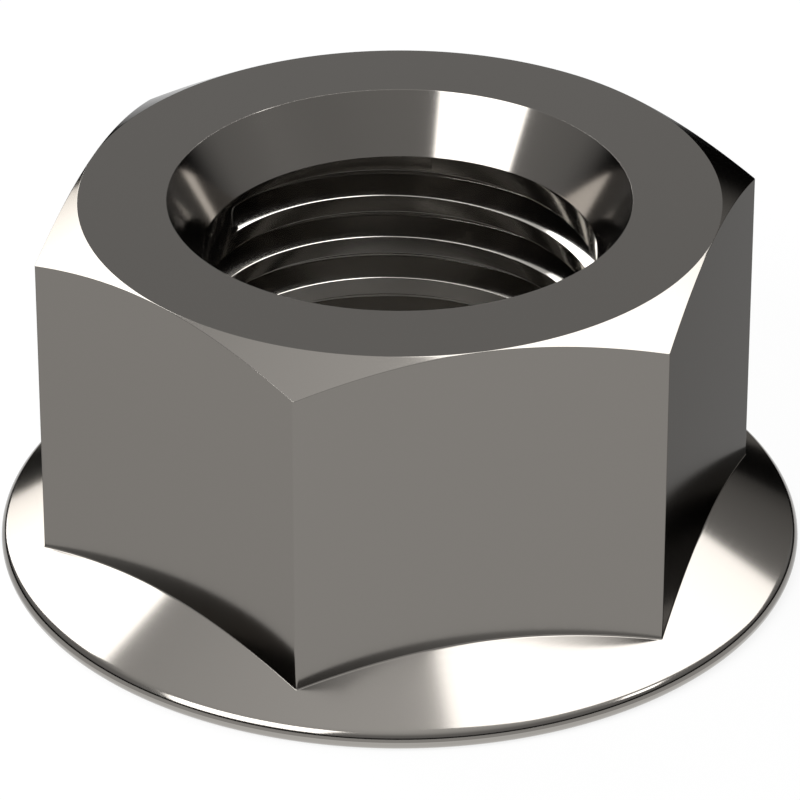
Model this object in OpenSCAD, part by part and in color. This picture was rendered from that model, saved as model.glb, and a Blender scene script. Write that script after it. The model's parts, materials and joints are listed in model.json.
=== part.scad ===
// Hexagon flange nut: one solid of steel with a chamfered hexagon, a cone-shaped
// flange that is forged on below it, and a countersunk threaded hole.
// The flange's bearing face lies on z = 0, the hole runs along Z, and two corners
// of the hexagon point along X. All sizes are millimetres.

/* [Hexagon] */
// Width across the flats of the hexagon
across_flats = 14; // [13:0.1:15]
// Height of the nut from the bearing face to the top face
nut_h = 8.56; // [7.5:0.01:10]
// Slope of the chamfer on the six top corners, down from the top face
corner_chamfer_angle = 30; // [15:1:40]

/* [Flange] */
// Diameter of the flange over its rim
flange_d = 17.8; // [17.5:0.1:20]
// Slope of the flange's cone, down from the hexagon to the rim
flange_angle = 28.6; // [20:0.1:32]
// Radius of the fully rounded rim
rim_r = 0.26; // [0.15:0.01:0.4]

/* [Threaded hole] */
// Diameter of the hole across the crests of its thread
thread_crest_d = 8.62; // [7.8:0.01:9]
// Diameter of the countersink's mouth in the top face
top_mouth_d = 10.12; // [9.6:0.01:11.5]
// Diameter of the countersink's mouth in the bearing face
base_mouth_d = 9.9; // [9.6:0.01:11.5]
// Angle of both countersinks, from wall to wall
countersink_angle = 60; // [50:1:100]

/* [Hidden] */
// Facets of every round surface
$fn = 180;
// Steps of the arc that rounds the rim
RIM_STEPS = 24;
// How far each cutter runs past the face that it cuts
PAST = 1;
corner_r = across_flats / 2 / cos(30);
// Centre of the rim's arc
rim_x = flange_d / 2 - rim_r;
rim_z = rim_r;
// Where the flange's cone would meet the axis: the cone is tangent to the rim's arc
cone_apex_z = rim_z + rim_x * tan(flange_angle) + rim_r / cos(flange_angle);
top_sink_h = (top_mouth_d - thread_crest_d) / 2 / tan(countersink_angle / 2);
base_sink_h = (base_mouth_d - thread_crest_d) / 2 / tan(countersink_angle / 2);

// A six-sided prism whose top corners are cut back by a cone, which touches the
// middle of each flat at the top face and leaves a round top face.
module hexagon() {
    drop = (corner_r + PAST - across_flats / 2) * tan(corner_chamfer_angle);
    intersection() {
        cylinder(h = nut_h, r = corner_r, $fn = 6);
        rotate_extrude()
            polygon([
                [0, 0],
                [corner_r + PAST, 0],
                [corner_r + PAST, nut_h - drop],
                [across_flats / 2, nut_h],
                [0, nut_h],
            ]);
    }
}

// The flange: a cone that falls away from the flats and ends in a round rim.
module flange() {
    first = -90;
    last = 90 - flange_angle;
    rim_arc = [
        for (i = [0:RIM_STEPS])
            let (a = first + (last - first) * i / RIM_STEPS)
                [rim_x + rim_r * cos(a), rim_z + rim_r * sin(a)]
    ];
    rotate_extrude()
        polygon(concat([[0, 0]], rim_arc, [[0, cone_apex_z]]));
}

// The hole through the nut: a bore at the thread's crests and a countersink at
// each end.
module threaded_hole() {
    translate([0, 0, -PAST])
        cylinder(h = nut_h + 2 * PAST, d = thread_crest_d);
    translate([0, 0, nut_h])
        countersink(top_mouth_d, top_sink_h);
    mirror([0, 0, 1])
        countersink(base_mouth_d, base_sink_h);
}

// A conical cutter with its mouth at z = 0, which narrows to the bore below it and
// widens at the same angle above it.
module countersink(mouth_d, depth) {
    wider = PAST * tan(countersink_angle / 2);
    rotate_extrude()
        polygon([
            [0, -depth],
            [thread_crest_d / 2, -depth],
            [mouth_d / 2 + wider, PAST],
            [0, PAST],
        ]);
}

module flange_nut() {
    color([0.42, 0.41, 0.39])
        difference() {
            union() {
                hexagon();
                flange();
            }
            threaded_hole();
        }
}

flange_nut();
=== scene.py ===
# %% [markdown]
# A hexagon flange nut in satin steel. The nut is one turned and tapped piece: a hexagon for the
# wrench, a cone-shaped flange that spreads the load, and a threaded hole. The scene loads the
# CAD model as a frame, and dresses its one solid with a surface that also has the small
# roundings of real edges and the thread, which the CAD model leaves plain.

# %% Frame
import json
from math import atan, cos, degrees, pi, radians, sin, tan

import bmesh
import bpy
import numpy as np
from mathutils import Matrix, Vector

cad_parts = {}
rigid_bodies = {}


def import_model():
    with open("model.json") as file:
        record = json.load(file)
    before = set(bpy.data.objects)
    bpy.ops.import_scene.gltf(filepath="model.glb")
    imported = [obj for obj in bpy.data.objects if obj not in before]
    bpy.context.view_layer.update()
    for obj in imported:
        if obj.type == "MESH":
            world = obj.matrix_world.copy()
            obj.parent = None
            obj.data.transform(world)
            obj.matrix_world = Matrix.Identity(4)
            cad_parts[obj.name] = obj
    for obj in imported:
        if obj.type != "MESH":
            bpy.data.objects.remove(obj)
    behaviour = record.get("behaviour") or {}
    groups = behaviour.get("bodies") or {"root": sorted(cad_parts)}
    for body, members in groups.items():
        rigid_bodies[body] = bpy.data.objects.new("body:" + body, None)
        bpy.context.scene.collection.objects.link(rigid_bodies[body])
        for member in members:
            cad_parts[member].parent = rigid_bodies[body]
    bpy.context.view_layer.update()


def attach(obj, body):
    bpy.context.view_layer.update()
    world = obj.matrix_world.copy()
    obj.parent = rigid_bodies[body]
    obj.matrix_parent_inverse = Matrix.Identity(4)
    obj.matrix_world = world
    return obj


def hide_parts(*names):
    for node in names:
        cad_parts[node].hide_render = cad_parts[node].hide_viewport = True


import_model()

MM = 0.001

# %% [markdown]
# The sizes are those of the CAD source, in millimetres, so that the dressed nut fills exactly
# the same space. The hexagon has corners on the X axis, and the nut stands on its bearing face.

# %% Sizes of the nut
ACROSS_FLATS = 14.0
NUT_HEIGHT = 8.56
FLANGE_D = 17.8
FLANGE_ANGLE = radians(28.6)
RIM_R = 0.26
CHAMFER_ANGLE = radians(30)
CREST_D = 8.62
TOP_MOUTH_D = 10.12
BASE_MOUTH_D = 9.9
SINK_HALF_ANGLE = radians(30)
PITCH = 25.4 / 24

flat_r = ACROSS_FLATS / 2
crest_r = CREST_D / 2
rim_x = FLANGE_D / 2 - RIM_R
cone_apex_z = RIM_R + rim_x * tan(FLANGE_ANGLE) + RIM_R / cos(FLANGE_ANGLE)
top_sink_z = NUT_HEIGHT - (TOP_MOUTH_D / 2 - crest_r) / tan(SINK_HALF_ANGLE)
base_sink_z = (BASE_MOUTH_D / 2 - crest_r) / tan(SINK_HALF_ANGLE)
print("crest cylinder from z", round(base_sink_z, 3), "to", round(top_sink_z, 3), "mm")

# %% [markdown]
# The camera stands where the photograph was taken from: 30 degrees above the nut, with a long
# lens, so that the far side of the nut is almost as large as the near side. It could be placed
# by eye. Here its direction, its distance and its lens come from the nut's known sizes.

# %% Camera
CAMERA_AZIMUTH = radians(-104.252)
CAMERA_ELEVATION = radians(30.27)
CAMERA_DISTANCE = 130.17
LENS = 264.76
FAR_CLIP = 100
AIM = Vector((0.0066, -0.0017, 3.4454))


def direction(azimuth, elevation):
    """The unit vector that points along an azimuth from +X and an elevation above the floor."""
    level = cos(elevation)
    return Vector((level * cos(azimuth), level * sin(azimuth), sin(elevation)))


camera_data = bpy.data.cameras.new("photo_camera")
camera_data.lens = LENS
camera_data.clip_start = MM
camera_data.clip_end = FAR_CLIP
camera = bpy.data.objects.new("photo_camera", camera_data)
bpy.context.scene.collection.objects.link(camera)
look = direction(CAMERA_AZIMUTH, CAMERA_ELEVATION)
camera.location = (AIM + look * CAMERA_DISTANCE) * MM
camera.rotation_euler = look.to_track_quat("Z", "Y").to_euler()
bpy.context.scene.camera = camera
print("camera", [round(v / MM, 1) for v in camera.location], "mm, lens", LENS)

# %% [markdown]
# A nut's outside is a body of revolution that a hexagon has been cut out of. One way to model
# it is to join solids with booleans, which leaves long thin faces. Another is to write its
# surface as a grid: the columns go round the nut, and each column is the same list of points
# from the bore over the flange to the top. The grid gives even faces, and a place for each
# small rounding, so this script takes that way.
#
# The columns stand one degree apart, with a few more at each corner of the hexagon, where the
# surface turns sharply. They begin at the azimuth where the thread's turns are counted from.

# %% Columns
CORNER_R = 0.05
SECTOR = 60
HALF_SECTOR = SECTOR / 2
THREAD_START = 25.748

# A corner's rounding touches the flats at corner_half degrees from the corner.
corner_centre = (flat_r - CORNER_R) / cos(radians(HALF_SECTOR))
touch_side = CORNER_R * sin(radians(HALF_SECTOR))
touch_reach = corner_centre + CORNER_R * cos(radians(HALF_SECTOR))
corner_half = degrees(atan(touch_side / touch_reach))


def column_angles():
    """The azimuths of the columns in degrees, falling from THREAD_START as the thread goes.

    Each sixth has a column for each whole degree between two corners, and nine close to a
    corner: seven across its rounding and one on the flat at each side of it.
    """
    near_corner = corner_half * np.array([-2, -1, -2 / 3, -1 / 3, 0, 1 / 3, 2 / 3, 1, 2])
    sixth = np.concatenate([near_corner, np.arange(1.0, SECTOR)])
    angles = (sixth[None, :] + np.arange(0, 360, SECTOR)[:, None]).ravel()
    turns = (THREAD_START - angles) / 360 % 1
    return THREAD_START - 360 * np.sort(turns)


def hexagon_reach(angle):
    """Distance from the axis to the hexagon, by azimuth in degrees.

    On a flat it is the flat's distance over the cosine of the angle from the flat's middle.
    Near a corner it is where the line meets the circle that rounds the corner off.
    """
    from_corner = (angle + HALF_SECTOR) % SECTOR - HALF_SECTOR
    flat = flat_r / np.cos(np.radians(HALF_SECTOR - np.abs(from_corner)))
    side = corner_centre * np.sin(np.radians(from_corner))
    depth = np.sqrt(np.maximum(CORNER_R ** 2 - side ** 2, 0))
    round_r = corner_centre * np.cos(np.radians(from_corner)) + depth
    return np.where(np.abs(from_corner) < corner_half, round_r, flat)


angles = column_angles()
hexagon_r = hexagon_reach(angles)
COLUMNS = len(angles)
print(COLUMNS, "columns; the hexagon reaches", round(float(hexagon_r.max()), 3), "mm")

# %% [markdown]
# No machined edge is perfectly sharp. Each edge of the section gets a short curve in place of
# its corner, and that curve is what catches the light on a real nut. The curve is a parabola
# that leaves both sides in their own direction, which needs no trigonometry. Smooth shading
# blends the normals of neighbouring faces, so one more row on each side holds the faces flat
# right up to the curve. Without it the large faces would shine as if they were bent.

# %% Rounded corners
HOLD = 0.02
MOST_OF_A_SIDE = 0.45


def beside(corner, towards):
    """A row of points on the way from a corner, at the distance HOLD from it."""
    way = towards - corner
    return corner + HOLD * way / np.linalg.norm(way, axis=-1, keepdims=True)


def soften(before, corner, after, radius, steps=4):
    """Points of a short curve that replaces a corner of the section, one row for each step.

    The curve starts on the side towards before, ends on the side towards after, and is the
    corner plus t times ((1 - s) squared times the one side's direction, plus s squared times
    the other's). t is the tangent length of the radius, but never over MOST_OF_A_SIDE. A
    holding row stands on each side, at HOLD past the curve's end.
    """
    back = before - corner
    ahead = after - corner
    back_length = np.linalg.norm(back, axis=-1, keepdims=True)
    ahead_length = np.linalg.norm(ahead, axis=-1, keepdims=True)
    back = back / back_length
    ahead = ahead / ahead_length
    half_angle = np.arccos(np.clip((back * ahead).sum(-1, keepdims=True), -1, 1)) / 2
    most = MOST_OF_A_SIDE * np.minimum(back_length, ahead_length)
    tangent = np.minimum(radius / np.tan(half_angle), most)
    s = np.linspace(0, 1, steps).reshape((-1,) + (1,) * corner.ndim)
    curve = corner + tangent * ((1 - s) ** 2 * back + s ** 2 * ahead)
    held_back = corner + np.minimum(tangent + HOLD, back_length / 2) * back
    held_ahead = corner + np.minimum(tangent + HOLD, ahead_length / 2) * ahead
    return np.concatenate([held_back[None], curve, held_ahead[None]])


# %% [markdown]
# The outside of the section runs from the foot of the bore, out along the bearing face, round
# the rim, up the flange's cone to the hexagon, up the flat, over the chamfer and the top face,
# and down the countersink. The hexagon's reach differs from column to column, and so do the
# heights at which a flat meets the cone below it and the chamfer above it. Those two heights
# draw the bows at the foot and the head of each flat. The round top face ends a hundredth of a
# millimetre inside the flats, so that the chamfer never shrinks to nothing between them.

# %% Outside of the section
EDGE_R = 0.010
FOOT_R = 0.02
SINK_EDGE_R = 0.006
MOUTH_EDGE_R = 0.004
RIM_STEPS = 16
FACE_INSET = 0.01
top_face_r = flat_r - FACE_INSET
each_column = np.ones(COLUMNS)


def point(r, z):
    """A point of the section for every column, as an array of (radius, height)."""
    return np.stack([r * each_column, z * each_column], axis=-1)


def rim_arc():
    """The rim's half round, from straight below its centre to where the cone leaves it."""
    turn = np.radians(np.linspace(-90, 90 - degrees(FLANGE_ANGLE), RIM_STEPS))
    arc = np.stack([rim_x + RIM_R * np.cos(turn), RIM_R + RIM_R * np.sin(turn)], axis=-1)
    return np.repeat(arc[:, None, :], COLUMNS, axis=1)


bore_foot = point(crest_r, base_sink_z)
base_mouth = point(BASE_MOUTH_D / 2, 0)
rim = rim_arc()
flat_foot = point(hexagon_r, cone_apex_z - hexagon_r * tan(FLANGE_ANGLE))
flat_head = point(hexagon_r, NUT_HEIGHT - (hexagon_r - top_face_r) * tan(CHAMFER_ANGLE))
top_edge = point(top_face_r, NUT_HEIGHT)
top_mouth = point(TOP_MOUTH_D / 2, NUT_HEIGHT)
bore_head = point(crest_r, top_sink_z)
bore_middle = point(crest_r, (top_sink_z + base_sink_z) / 2)

flange_rows = [
    soften(bore_middle, bore_foot, base_mouth, SINK_EDGE_R)[1:],
    soften(bore_foot, base_mouth, rim[0], EDGE_R),
    beside(rim[0], base_mouth)[None],
    rim,
    beside(rim[-1], flat_foot)[None],
]
flat_rows = [
    soften(rim[-1], flat_foot, flat_head, FOOT_R),
    soften(flat_foot, flat_head, top_edge, EDGE_R),
]
head_rows = [
    soften(flat_head, top_edge, top_mouth, EDGE_R),
    soften(top_edge, top_mouth, bore_head, MOUTH_EDGE_R),
    soften(top_mouth, bore_head, bore_middle, SINK_EDGE_R)[:-1],
]
outside = np.concatenate(flange_rows + flat_rows + head_rows)
print("outside:", outside.shape[0], "rows")

# %% [markdown]
# The thread is a helical groove between the two countersinks. It could be a texture, but then
# its edge against the countersink would be smooth and the light in the groove wrong. So it is
# part of the mesh: its section is four corners a pitch, with flanks that lean 30 degrees as on
# every thread of its kind, and each corner gets a very short curve that draws a line of light.

# %% Section of the thread
THREAD_DEPTH = 0.51
THREAD_EDGE_R = 0.004
FLANK_SLOPE = tan(radians(30))
CREST_FLAT = 0.404


def thread_section():
    """Rows of one pitch of the thread, as (lift above a ridge's upper edge, depth), in mm.

    The four corners are the lower edge of the ridge above, the top and foot of the groove's
    root, and the upper edge of the ridge below, each softened by a short curve.
    """
    ceiling = PITCH - CREST_FLAT
    flank = THREAD_DEPTH * FLANK_SLOPE
    corners = np.array([
        [ceiling, 0],
        [ceiling - flank, THREAD_DEPTH],
        [flank, THREAD_DEPTH],
        [0, 0],
    ])
    one_pitch = np.array([PITCH, 0])
    before = np.concatenate([corners[-1:] + one_pitch, corners[:-1]])
    after = np.concatenate([corners[1:], corners[:1] - one_pitch])
    rows = soften(before, corners, after, THREAD_EDGE_R, steps=3)
    return rows.transpose(1, 0, 2).reshape(-1, 2)


thread = thread_section()
print("thread section:", len(thread), "points a pitch,", THREAD_DEPTH, "mm deep")

# %% [markdown]
# The rows of the grid follow the helix itself, so each edge of the thread is an edge of the
# mesh. A row drops by one pitch in a turn, and where the columns close it joins the row one
# pitch further on. The eight turns are more than the bore holds: rows that would leave it are
# held at its ends, and the groove gets shallower where a countersink cuts across it. A tap
# leaves a long run-out, but this nut's groove starts bluntly, so its depth jumps from nothing
# to full within BLUNT_LENGTH of a turn, at BLUNT_START turns. The helix is hung up by one
# ridge: its upper edge is at RIDGE_Z when it has come RIDGE_TURN turns along.

# %% Thread rows
TURNS = 8
RIDGE_Z = 6.251
RIDGE_TURN = 2 - 50 / 360
BLUNT_START = 1.698
BLUNT_LENGTH = 0.006

ROWS_PER_PITCH = len(thread)
bore_top = outside[-1, 0, 1]
bore_bottom = outside[0, 0, 1]
turn_of_column = (THREAD_START - angles) / 360
row_turn = np.repeat(np.arange(TURNS), ROWS_PER_PITCH)
row_lift = np.tile(thread[:, 0], TURNS)
row_depth = np.tile(thread[:, 1], TURNS)

travel = row_turn[:, None] + turn_of_column[None, :]
ridge_z = RIDGE_Z + PITCH * (RIDGE_TURN - travel)
ceiling_z = ridge_z + PITCH - CREST_FLAT
room_above = np.maximum(bore_top - ridge_z, 0) / FLANK_SLOPE
room_below = np.maximum(ceiling_z - bore_bottom, 0) / FLANK_SLOPE
cut_in = np.clip((travel - BLUNT_START) / BLUNT_LENGTH, 0, 1)
thread_z = np.clip(ridge_z + row_lift[:, None], bore_bottom, bore_top)
thread_r = crest_r + cut_in * np.minimum(row_depth[:, None], np.minimum(room_above, room_below))
inside = np.stack([thread_r, thread_z], axis=-1)
print("thread:", inside.shape[0], "rows of pitch", round(PITCH, 4), "mm")

# %% [markdown]
# The two parts of the section now become the nut's skin. Each point is turned to its column's
# azimuth, and each face joins two neighbours in a row with the two above them. The outside
# closes on itself. The thread closes one pitch lower, as a helix does.

# %% Points and faces
def grid_faces(first, rows, shift):
    """Faces between each row and the next, as four vertex numbers each.

    Vertices are numbered row by row from first. The last column meets the first column again
    shift rows further on, and never past the last row.
    """
    row = np.arange(rows - 1)[:, None]
    column = np.arange(COLUMNS)[None, :]
    next_column = (column + 1) % COLUMNS
    jump = np.where(column == COLUMNS - 1, shift, 0)
    right_low = np.minimum(row + jump, rows - 1)
    right_high = np.minimum(row + 1 + jump, rows - 1)
    corners = [
        first + row * COLUMNS + column,
        first + (row + 1) * COLUMNS + column,
        first + right_high * COLUMNS + next_column,
        first + right_low * COLUMNS + next_column,
    ]
    return np.stack([np.broadcast_to(c, right_low.shape) for c in corners], axis=-1).reshape(-1, 4)


def place(section):
    """The section's (radius, height) points at their columns' azimuths, in metres."""
    turn = np.radians(angles)
    x = section[..., 0] * np.cos(turn)
    y = section[..., 0] * np.sin(turn)
    return np.stack([x, y, section[..., 1]], axis=-1).reshape(-1, 3) * MM


outer_rows = len(outside)
thread_rows = len(inside)
vertices = np.concatenate([place(outside), place(inside)])
faces = np.concatenate([
    grid_faces(0, outer_rows, 0),
    grid_faces(outer_rows * COLUMNS, thread_rows, ROWS_PER_PITCH),
])
print("grid:", len(vertices), "points,", len(faces), "faces")

# %% [markdown]
# A nut like this one shows four finishes: the turned top face and its countersink, the cones
# of the flange and the chamfer, the flats as the bar was drawn, and what is cut last, which is
# the thread and the underside up to the rim's nose. A face could get its finish by its place.
# Here its row in the grid already says what it belongs to, so each row gets one finish.

# %% Finishes by row
TURNED, CONED, DRAWN, CUT = range(4)

rim_from = sum(len(rows) for rows in flange_rows[:3])
rim_nose = rim_from + int(np.argmax(rim[:, 0, 0]))
cone_from = rim_from + RIM_STEPS - 1
flats_from = sum(len(rows) for rows in flange_rows)
flats_until = flats_from + sum(len(rows) for rows in flat_rows)
face_row = np.repeat(np.arange(outer_rows + thread_rows - 2), COLUMNS)
finish = np.full(len(faces), TURNED)
finish[(face_row < rim_nose) | (face_row >= outer_rows - 1)] = CUT
finish[(face_row >= cone_from) & (face_row < flats_until + 1)] = CONED
finish[(face_row >= flats_from) & (face_row < flats_until - 1)] = DRAWN
print("faces turned, coned, drawn and cut:", np.bincount(finish).tolist())

# %% [markdown]
# The arrays become a mesh. Rows that were held at the ends of the bore lie on top of each
# other, so points closer than WELD are merged, which also closes the thread onto the
# countersinks, and what shrank to less than SLIVER is taken away. Then no edge may be open.

# %% Mesh of the nut
WELD = 1e-4
SLIVER = 1e-5

nut_mesh = bpy.data.meshes.new("nut_body")
nut_mesh.from_pydata(vertices.tolist(), [], faces.tolist())
nut_mesh.polygons.foreach_set("material_index", finish.astype(np.int32))
work = bmesh.new()
work.from_mesh(nut_mesh)
bmesh.ops.remove_doubles(work, verts=work.verts, dist=WELD * MM)
bmesh.ops.dissolve_degenerate(work, edges=work.edges, dist=SLIVER * MM)
bmesh.ops.recalc_face_normals(work, faces=work.faces)
open_edges = sum(1 for edge in work.edges if len(edge.link_faces) != 2)
work.to_mesh(nut_mesh)
work.free()
nut_mesh.shade_smooth()
nut_body = bpy.data.objects.new("nut_body", nut_mesh)
bpy.context.scene.collection.objects.link(nut_body)
print("nut_body:", len(nut_mesh.polygons), "faces,", open_edges, "open edges")

# %% [markdown]
# The nut is satin steel, a metal that mirrors its surroundings with a slight blur. Turned
# faces carry fine rings from the lathe, and the flats carry fine lines along the bar that the
# nut was cut from. Both are a noise pattern stretched along the marks, in Object coordinates,
# that changes the roughness a little and dents the surface by a fraction of a micrometre.
#
# Steel gets lighter towards a grazing view. The Specular Tint of a metal sets how much: white
# is a clean polish, as on the turned faces, and grey is the duller skin of the cones and the
# flats, which then stay dark where they mirror each other. The faces cut last, the thread and
# the underside, get a lighter base colour, which is painted light that brightens the shaded bore.

# %% Steel
STEEL = (0.205, 0.193, 0.178, 1)
# A lighter copy of the steel: painted light that brightens the thread in the shaded bore.
CUT_STEEL_PAINTED_LIGHT = (0.36, 0.344, 0.32, 1)
DULL = (0.3, 0.3, 0.3, 1)
WHITE = (1, 1, 1, 1)
ROUGHNESS = 0.11
CUT_ROUGHNESS = 0.1
ROUGHNESS_SPREAD = 0.02
RINGS_PER_MM = 14
LINES_PER_MM = 9
ENDS_PER_MM = 0.25
MARK_DETAIL = 3
MARK_DEPTH = 0.0002
MARK_STRENGTH = 0.4


def steel(name, ringed, colour, edge_tint, roughness):
    """A metallic material with fine marks, in rings round the axis or else in lines along it.

    Rings read the noise at the distance from the axis alone. Lines read it at the place
    itself, with Z shrunk so far that the noise hardly changes along the axis.
    """
    material = bpy.data.materials.new(name)
    material.use_nodes = True
    nodes = material.node_tree.nodes
    links = material.node_tree.links
    shader = nodes["Principled BSDF"]
    shader.inputs["Base Color"].default_value = colour
    shader.inputs["Metallic"].default_value = 1
    shader.inputs["Specular Tint"].default_value = edge_tint
    place_node = nodes.new("ShaderNodeTexCoord")
    marks_at = nodes.new("ShaderNodeVectorMath")
    marks_at.operation = "MULTIPLY"
    links.new(place_node.outputs["Object"], marks_at.inputs[0])
    if ringed:
        marks_at.inputs[1].default_value = (RINGS_PER_MM / MM, RINGS_PER_MM / MM, 0)
        distance = nodes.new("ShaderNodeVectorMath")
        distance.operation = "LENGTH"
        links.new(marks_at.outputs[0], distance.inputs[0])
        marks_at = nodes.new("ShaderNodeCombineXYZ")
        links.new(distance.outputs["Value"], marks_at.inputs["X"])
    else:
        marks_at.inputs[1].default_value = (LINES_PER_MM / MM, LINES_PER_MM / MM, ENDS_PER_MM / MM)
    marks = nodes.new("ShaderNodeTexNoise")
    marks.inputs["Scale"].default_value = 1
    marks.inputs["Detail"].default_value = MARK_DETAIL
    links.new(marks_at.outputs[0], marks.inputs["Vector"])
    rough = nodes.new("ShaderNodeMapRange")
    rough.inputs["To Min"].default_value = roughness - ROUGHNESS_SPREAD
    rough.inputs["To Max"].default_value = roughness + ROUGHNESS_SPREAD
    links.new(marks.outputs["Fac"], rough.inputs["Value"])
    links.new(rough.outputs[0], shader.inputs["Roughness"])
    bump = nodes.new("ShaderNodeBump")
    bump.inputs["Strength"].default_value = MARK_STRENGTH
    bump.inputs["Distance"].default_value = MARK_DEPTH * MM
    links.new(marks.outputs["Fac"], bump.inputs["Height"])
    links.new(bump.outputs[0], shader.inputs["Normal"])
    return material


# In the order of TURNED, CONED, DRAWN and CUT.
nut_mesh.materials.append(steel("turned_steel", True, STEEL, WHITE, ROUGHNESS))
nut_mesh.materials.append(steel("coned_steel", True, STEEL, DULL, ROUGHNESS))
nut_mesh.materials.append(steel("drawn_steel", False, STEEL, DULL, ROUGHNESS))
# The cut faces get the lighter steel, which is painted light in the bore.
nut_mesh.materials.append(steel("cut_steel_painted_light", True, CUT_STEEL_PAINTED_LIGHT, WHITE, CUT_ROUGHNESS))
print("finishes:", [material.name for material in nut_mesh.materials])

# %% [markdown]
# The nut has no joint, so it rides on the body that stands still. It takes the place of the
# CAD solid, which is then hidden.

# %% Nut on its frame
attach(nut_body, "root")
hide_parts("flange_nut")
print("nut_body rides on root in place of flange_nut")

# %% [markdown]
# The studio is made of round pieces too: a floor, a tent and a ring of card. Blender's own
# circles and spheres would do. Each is a few rings of points here, because then all three
# share the same columns, and the same two helpers put them into the scene.

# %% Round pieces
ROUND_PARTS = 96
round_turn = np.linspace(0, 2 * pi, ROUND_PARTS, endpoint=False)
round_part = np.arange(ROUND_PARTS)
next_part = (round_part + 1) % ROUND_PARTS


def add_piece(name, points, faces):
    """A new object with a mesh of these points and faces, in the scene."""
    mesh = bpy.data.meshes.new(name)
    mesh.from_pydata(points.tolist(), [], faces)
    piece = bpy.data.objects.new(name, mesh)
    bpy.context.scene.collection.objects.link(piece)
    return piece


def only_in_the_metal(piece):
    """Leave a piece out of all but the metal's reflections."""
    piece.visible_camera = False
    piece.visible_diffuse = False
    piece.visible_shadow = False


print("round pieces have", ROUND_PARTS, "columns")

# %% [markdown]
# The floor is a plain white sheet. It could be a square plane. Here it is a disc, because its
# white and its shade depend on the distance from the nut. It is so large that its edge stays
# out of the picture.

# %% Floor
FLOOR_R = 0.9


def disc(name, radius):
    """A flat disc on the floor: a centre, a ring half-way out and a ring at the radius."""
    reach = radius * np.array([[0.5], [1]])
    x = (reach * np.cos(round_turn)).ravel()
    y = (reach * np.sin(round_turn)).ravel()
    points = np.stack([np.append(x, 0), np.append(y, 0), np.zeros(len(x) + 1)], axis=-1)
    centre = np.full(ROUND_PARTS, len(x))
    middle = np.stack([centre, round_part, next_part], axis=-1)
    outer = [round_part, ROUND_PARTS + round_part, ROUND_PARTS + next_part, next_part]
    return add_piece(name, points, middle.tolist() + np.stack(outer, axis=-1).tolist())


floor = disc("floor", FLOOR_R)
print("floor:", round(2 * FLOOR_R, 1), "m across")

# %% [markdown]
# A real sheet is lit until it is pure white. Here the camera and the metal see mostly an even
# white, and what the lamps do on the sheet shows only near the nut, as its soft shadow. The
# share of even white grows with the distance from the axis: for the camera from under the
# flange to just past the rim, and in the metal a little nearer, so that the lower half of the
# rim mirrors white, while the floor seen through the hole stays in the nut's own shade.

# %% White of the floor
SHEET_WHITE = (0.9, 0.9, 0.9, 1)
WHITE_SHARE = 0.95
SHADE_SEEN = (7.5, 9.2)
SHADE_MIRRORED = (7.5, 8.7)

floor_look = bpy.data.materials.new("white_sheet")
floor_look.use_nodes = True
floor_nodes = floor_look.node_tree.nodes
floor_links = floor_look.node_tree.links
floor_nodes.clear()
sheet = floor_nodes.new("ShaderNodeBsdfDiffuse")
sheet.inputs["Color"].default_value = SHEET_WHITE
even_white = floor_nodes.new("ShaderNodeEmission")
even_white.inputs["Strength"].default_value = 1
floor_at = floor_nodes.new("ShaderNodeTexCoord")
reach = floor_nodes.new("ShaderNodeVectorMath")
reach.operation = "LENGTH"
floor_links.new(floor_at.outputs["Object"], reach.inputs[0])
floor_path = floor_nodes.new("ShaderNodeLightPath").outputs


def larger(nodes, links, first, second):
    """The larger of two values of a material or a world."""
    node = nodes.new("ShaderNodeMath")
    node.operation = "MAXIMUM"
    links.new(first, node.inputs[0])
    links.new(second, node.inputs[1])
    return node.outputs[0]


def white_share(span, is_ray):
    """The share of even white for one kind of ray, which grows over a span of radii in mm."""
    ramp = floor_nodes.new("ShaderNodeMapRange")
    ramp.interpolation_type = "SMOOTHSTEP"
    ramp.inputs["From Min"].default_value = span[0] * MM
    ramp.inputs["From Max"].default_value = span[1] * MM
    ramp.inputs["To Max"].default_value = WHITE_SHARE
    floor_links.new(reach.outputs["Value"], ramp.inputs["Value"])
    part = floor_nodes.new("ShaderNodeMath")
    part.operation = "MULTIPLY"
    floor_links.new(ramp.outputs[0], part.inputs[0])
    floor_links.new(is_ray, part.inputs[1])
    return part.outputs[0]


from_camera = floor_path["Is Camera Ray"]
through_glass = floor_path["Is Transmission Ray"]
is_seen = larger(floor_nodes, floor_links, from_camera, through_glass)
seen_share = white_share(SHADE_SEEN, is_seen)
mirrored_share = white_share(SHADE_MIRRORED, floor_path["Is Glossy Ray"])
share = larger(floor_nodes, floor_links, seen_share, mirrored_share)
blend = floor_nodes.new("ShaderNodeMixShader")
floor_links.new(share, blend.inputs[0])
floor_links.new(sheet.outputs[0], blend.inputs[1])
floor_links.new(even_white.outputs[0], blend.inputs[2])
floor_out = floor_nodes.new("ShaderNodeOutputMaterial")
floor_links.new(blend.outputs[0], floor_out.inputs[0])
floor.data.materials.append(floor_look)
print("the floor is even white from", SHADE_SEEN[1], "mm out")

# %% [markdown]
# Metal shows whatever stands round it, so a photographer of metal builds a tent of grey cloth
# with a dark edge near the table, and lights it with soft boxes. The tent here is a dome. The
# camera looks through it, and only the metal sees it.

# %% Tent
TENT_R = 0.8
TENT_RINGS = 24


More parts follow.
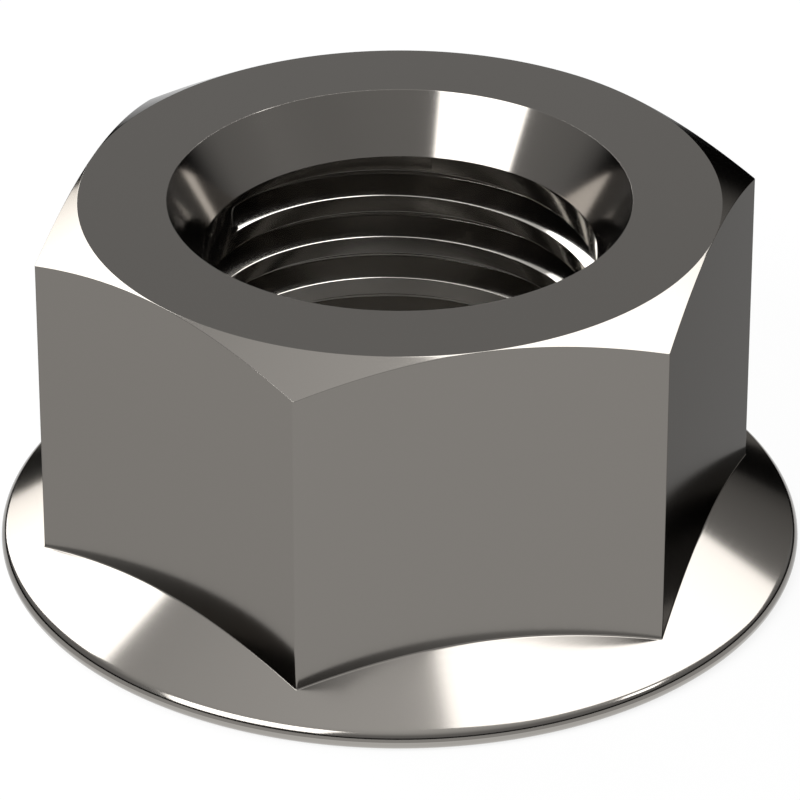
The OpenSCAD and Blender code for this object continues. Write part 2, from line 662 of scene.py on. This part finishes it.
def dome(name, radius):
    """A half sphere: rings of points at even elevations, and one point at the top."""
    rise = np.radians(np.linspace(0, 90, TENT_RINGS, endpoint=False))[:, None]
    x = (radius * np.cos(rise) * np.cos(round_turn)).ravel()
    y = (radius * np.cos(rise) * np.sin(round_turn)).ravel()
    z = np.repeat(radius * np.sin(rise), ROUND_PARTS)
    points = np.concatenate([np.stack([x, y, z], axis=-1), [[0, 0, radius]]])
    row = np.arange(TENT_RINGS - 1)[:, None] * ROUND_PARTS
    above = row + ROUND_PARTS
    walls = np.stack([row + round_part, row + next_part, above + next_part, above + round_part], axis=-1)
    last = (TENT_RINGS - 1) * ROUND_PARTS
    top = np.stack([last + round_part, last + next_part, np.full(ROUND_PARTS, len(x))], axis=-1)
    return add_piece(name, points, walls.reshape(-1, 4).tolist() + top.tolist())


tent = dome("light_tent", TENT_R)
only_in_the_metal(tent)
print("tent:", len(tent.data.polygons), "faces")

# %% [markdown]
# A real tent glows because lamps shine through its cloth. Here the cloth itself glows, which
# sets each height exactly: a dark rim, grey walls and a light ceiling. TENT_GLOW lists the
# strength by elevation in degrees, and a ramp over the sine of the elevation carries it,
# because that is the height of a point of the dome over its radius. A new ramp has two
# elements, which take the first two levels.

# %% Glow of the tent
TENT_GLOW = [
    (0, 0.003), (5.5, 0.01), (7.5, 0.08), (10, 0.23), (14, 0.39), (18, 0.43),
    (26, 0.49), (31, 0.46), (34, 0.52), (46, 0.85), (58, 1.1), (76, 1.28), (90, 1.36),
]
CEILING_GLOW = TENT_GLOW[-1][1]

tent_look = bpy.data.materials.new("tent_cloth")
tent_look.use_nodes = True
tent_nodes = tent_look.node_tree.nodes
tent_links = tent_look.node_tree.links
tent_nodes.clear()
tent_at = tent_nodes.new("ShaderNodeTexCoord")
tent_unit = tent_nodes.new("ShaderNodeVectorMath")
tent_unit.operation = "NORMALIZE"
tent_links.new(tent_at.outputs["Object"], tent_unit.inputs[0])
tent_split = tent_nodes.new("ShaderNodeSeparateXYZ")
tent_links.new(tent_unit.outputs[0], tent_split.inputs[0])
tent_ramp = tent_nodes.new("ShaderNodeValToRGB")
elements = tent_ramp.color_ramp.elements
for number, (elevation, glow) in enumerate(TENT_GLOW):
    element = elements[number] if number < 2 else elements.new(1)
    element.position = sin(radians(elevation))
    level = glow / CEILING_GLOW
    element.color = (level, level, level, 1)
tent_links.new(tent_split.outputs["Z"], tent_ramp.inputs[0])
tent_glow = tent_nodes.new("ShaderNodeEmission")
tent_glow.inputs["Strength"].default_value = CEILING_GLOW
tent_links.new(tent_ramp.outputs["Color"], tent_glow.inputs["Color"])
tent_out = tent_nodes.new("ShaderNodeOutputMaterial")
tent_links.new(tent_glow.outputs[0], tent_out.inputs[0])
tent.data.materials.append(tent_look)
print("tent: glow", TENT_GLOW[0][1], "at its rim and", CEILING_GLOW, "overhead")

# %% [markdown]
# A low ring of black card stands on the sheet, outside the picture. It hides the far floor from
# the metal, and gives it the thin dark line by which polished steel reads as steel.

# %% Card ring
CARD_R = 52.0
CARD_H = 8.5
CARD_BLACK = (0.003, 0.003, 0.003, 1)


def ring_wall(name, radius, height):
    """An upright band: one row of points on the floor and one at the height, round the axis."""
    x = np.tile(radius * np.cos(round_turn), 2)
    y = np.tile(radius * np.sin(round_turn), 2)
    z = np.repeat([0, height], ROUND_PARTS)
    corners = [round_part, round_part + ROUND_PARTS, next_part + ROUND_PARTS, next_part]
    return add_piece(name, np.stack([x, y, z], axis=-1), np.stack(corners, axis=-1).tolist())


card_look = bpy.data.materials.new("black_card")
card_look.use_nodes = True
card_shader = card_look.node_tree.nodes["Principled BSDF"]
card_shader.inputs["Base Color"].default_value = CARD_BLACK
card_shader.inputs["Specular IOR Level"].default_value = 0
card = ring_wall("black_card", CARD_R * MM, CARD_H * MM)
only_in_the_metal(card)
card.data.materials.append(card_look)
print("black card:", CARD_H, "mm high,", CARD_R, "mm from the axis")

# %% [markdown]
# Four soft boxes give the white reflections: three broad ones on the flange, the chamfer and
# the countersink, and a small one beside the nut that draws the narrow streak in the left end
# of the countersink. A box could be dragged to its place by hand. Here each one is placed by
# the two directions between which the metal shows it, counted from the photograph's right-hand
# side, and by its breadth below and above that line in degrees. The right box lights only the
# metal, or the floor would be too bright.

# %% Soft boxes
BOX_DISTANCE = 0.5
PHOTO_TURN = -14.252


def soft_box(name, first, last, below, above, radiance):
    """An area lamp that reaches from one direction to another, given as (azimuth, elevation).

    It faces the nut. Its length is the chord of the angle between both directions at
    BOX_DISTANCE, it reaches below and above that chord by two angles, and its power is pi
    times its area times the radiance.
    """
    start = direction(radians(first[0] + PHOTO_TURN), radians(first[1]))
    end = direction(radians(last[0] + PHOTO_TURN), radians(last[1]))
    middle = (start + end).normalized()
    along = (end - start).normalized()
    spread = start.angle(end)
    lamp = bpy.data.lights.new(name, "AREA")
    lamp.shape = "RECTANGLE"
    lamp.size = 2 * BOX_DISTANCE * tan(spread / 2)
    lamp.size_y = BOX_DISTANCE * (tan(radians(below)) + tan(radians(above)))
    lamp.energy = pi * lamp.size * lamp.size_y * radiance
    box = bpy.data.objects.new(name, lamp)
    across = middle.cross(along)
    turn = Matrix((along, across, middle)).transposed().to_4x4()
    aside = BOX_DISTANCE * (tan(radians(above)) - tan(radians(below))) / 2
    box.matrix_world = Matrix.Translation(middle * BOX_DISTANCE + across * aside) @ turn
    box.visible_camera = False
    bpy.context.scene.collection.objects.link(box)
    print(name, "spans", round(degrees(spread), 1), "degrees, power", round(lamp.energy, 2), "W")
    return box


soft_box("left_box", (115, 8.5), (147.8, 49.5), below=11, above=11, radiance=6.6)
right_box = soft_box("right_box", (-2, 84.5), (49.2, 28.5), below=24, above=8, radiance=5)
right_box.visible_diffuse = False
soft_box("front_box", (-110.5, 32), (-157, 25), below=24, above=14, radiance=7)
soft_box("side_box", (-9, 34), (-19, 40), below=7, above=7, radiance=8)

# %% [markdown]
# Beyond the tent the world is even white for the camera and the metal, and a dim fill for the
# rest, so that the lamps and the world together light a white surface to just about white.

# %% World
FILL = 0.45
world = bpy.data.worlds.new("white_room")
world.use_nodes = True
world_nodes = world.node_tree.nodes
world_links = world.node_tree.links
sky = world_nodes["Background"]
sky.inputs["Color"].default_value = WHITE
sky_level = world_nodes.new("ShaderNodeMapRange")
sky_level.inputs["To Min"].default_value = FILL
sky_level.inputs["To Max"].default_value = 1
path = world_nodes.new("ShaderNodeLightPath").outputs
seen = larger(world_nodes, world_links, path["Is Camera Ray"], path["Is Glossy Ray"])
seen = larger(world_nodes, world_links, seen, path["Is Transmission Ray"])
world_links.new(seen, sky_level.inputs["Value"])
world_links.new(sky_level.outputs[0], sky.inputs["Strength"])
bpy.context.scene.world = world
bpy.context.scene.view_settings.view_transform = "Standard"
print("world: fill", FILL, "for the lamps' share, 1 for what is seen")
